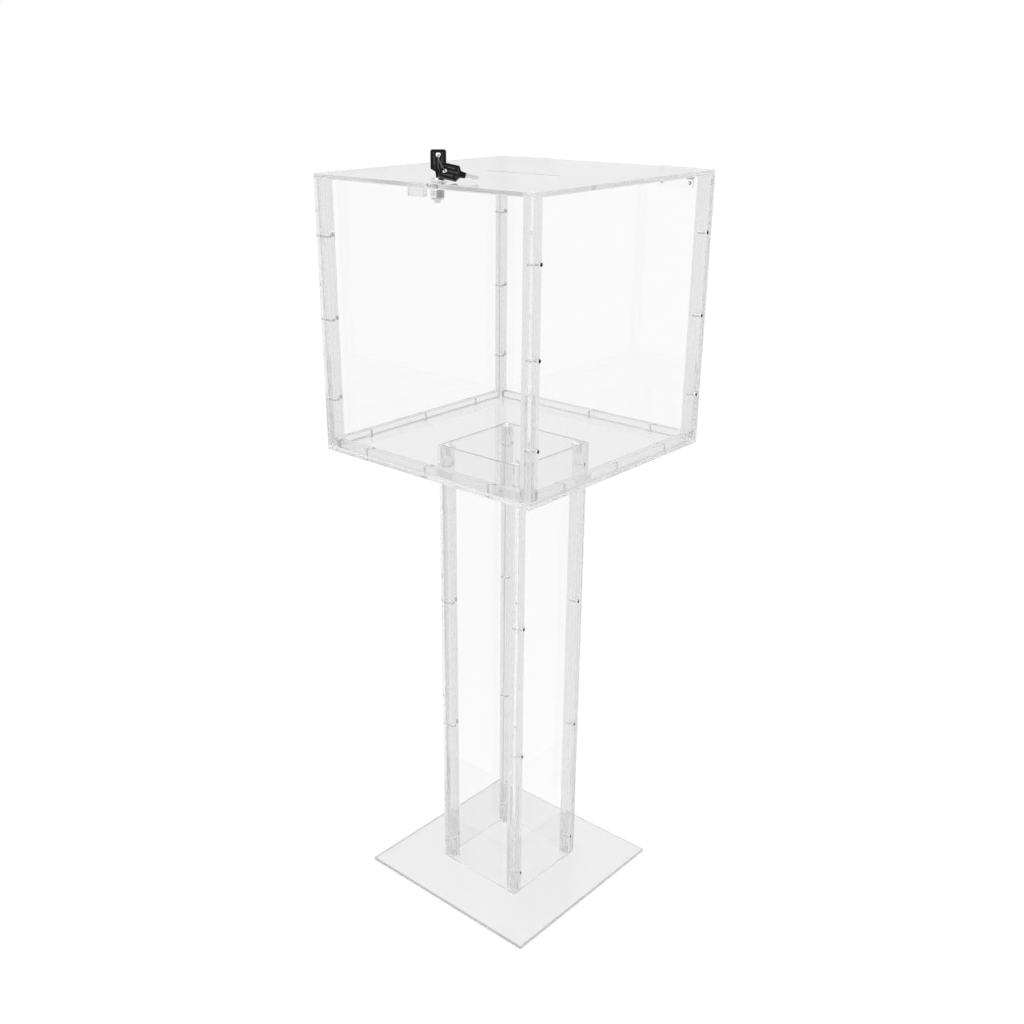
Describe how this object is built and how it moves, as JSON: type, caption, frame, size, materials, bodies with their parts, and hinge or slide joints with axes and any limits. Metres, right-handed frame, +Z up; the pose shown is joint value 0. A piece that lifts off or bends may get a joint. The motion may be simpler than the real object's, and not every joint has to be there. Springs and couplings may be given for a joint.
{
  "type": "offering box",
  "caption": "Clear offering box on a tall square column and base plate, with a hinged slotted lid, a cam lock and its keys",
  "frame": {"origin": "centre of the base plate's underside, on the floor", "axes": "+Z up along the column, front with the lock faces -Y, +X to the right seen from the front"},
  "size_m": [0.4052, 0.4104, 1.2076],
  "materials": {
    "clear_sheet": "polished clear cast acrylic sheet",
    "clear_bar": "clear acrylic bar, sawn and polished",
    "clear_moulding": "clear moulded plastic",
    "lock_chrome": "bright chrome plate",
    "zinc_steel": "zinc plated pressed steel",
    "screw_steel": "bright nickel plated steel",
    "key_plastic": "black moulded plastic",
    "key_metal": "nickel plated brass, milled"
  },
  "bodies": {
    "stand": {"base_plate": "clear_sheet", "box_floor": "clear_sheet", "box_panel_back": "clear_sheet", "box_panel_front": "clear_sheet", "box_panel_left": "clear_sheet", "box_panel_right": "clear_sheet", "box_post_back_left": "clear_bar", "box_post_back_right": "clear_bar", "box_post_front_left": "clear_bar", "box_post_front_right": "clear_bar", "box_screws_left": "screw_steel", "box_screws_right": "screw_steel", "column_base_screws": "screw_steel", "column_panel_back": "clear_sheet", "column_panel_front": "clear_sheet", "column_panel_left": "clear_sheet", "column_panel_right": "clear_sheet", "column_post_back_left": "clear_bar", "column_post_back_right": "clear_bar", "column_post_front_left": "clear_bar", "column_post_front_right": "clear_bar", "column_screws_left": "screw_steel", "column_screws_right": "screw_steel", "column_top_screws": "screw_steel", "floor_rail_back": "clear_bar", "floor_rail_front": "clear_bar", "floor_rail_left": "clear_bar", "floor_rail_right": "clear_bar", "floor_screws": "screw_steel", "hinge_pin_left": "screw_steel", "hinge_pin_right": "screw_steel", "hinge_screws": "screw_steel", "hinge_wall_leaf_left": "clear_moulding", "hinge_wall_leaf_right": "clear_moulding", "strike_block": "clear_bar"},
    "lid": {"lid_panel": "clear_sheet", "hinge_lid_leaf_left": "clear_moulding", "hinge_lid_leaf_right": "clear_moulding", "lock_body": "lock_chrome", "lock_nut": "lock_chrome"},
    "plug": {"lock_plug": "lock_chrome", "cam": "zinc_steel", "cam_washer": "zinc_steel", "cam_screw": "zinc_steel"},
    "key": {"key_blade": "key_metal", "key_head": "key_plastic"},
    "ring": {"key_ring": "screw_steel"},
    "spare": {"spare_key_blade": "key_metal", "spare_key_head": "key_plastic"}
  },
  "joints": [
    {"name": "lid_hinge", "type": "hinge", "parent": "stand", "child": "lid", "pos_m": [0, 0.2037, 1.165], "axis": [-1, 0, 0], "range_deg": [0, 110]},
    {"name": "lock_turn", "type": "hinge", "parent": "lid", "child": "plug", "pos_m": [0.018, -0.174, 1.16], "axis": [0, 0, 1], "range_deg": [0, 90]},
    {"name": "key_slide", "type": "slide", "parent": "plug", "child": "key", "axis": [0, 0, 1], "range_m": [0, 0.02]},
    {"name": "ring_swing", "type": "hinge", "parent": "key", "child": "ring", "pos_m": [0.018, -0.174, 1.2013], "axis": [0.5736, -0.8192, 0], "range_deg": [0, 120]},
    {"name": "spare_swing", "type": "hinge", "parent": "ring", "child": "spare", "pos_m": [0.0316, -0.17704, 1.18219], "axis": [0.5736, -0.8192, 0], "range_deg": [0, 60]}
  ]
}
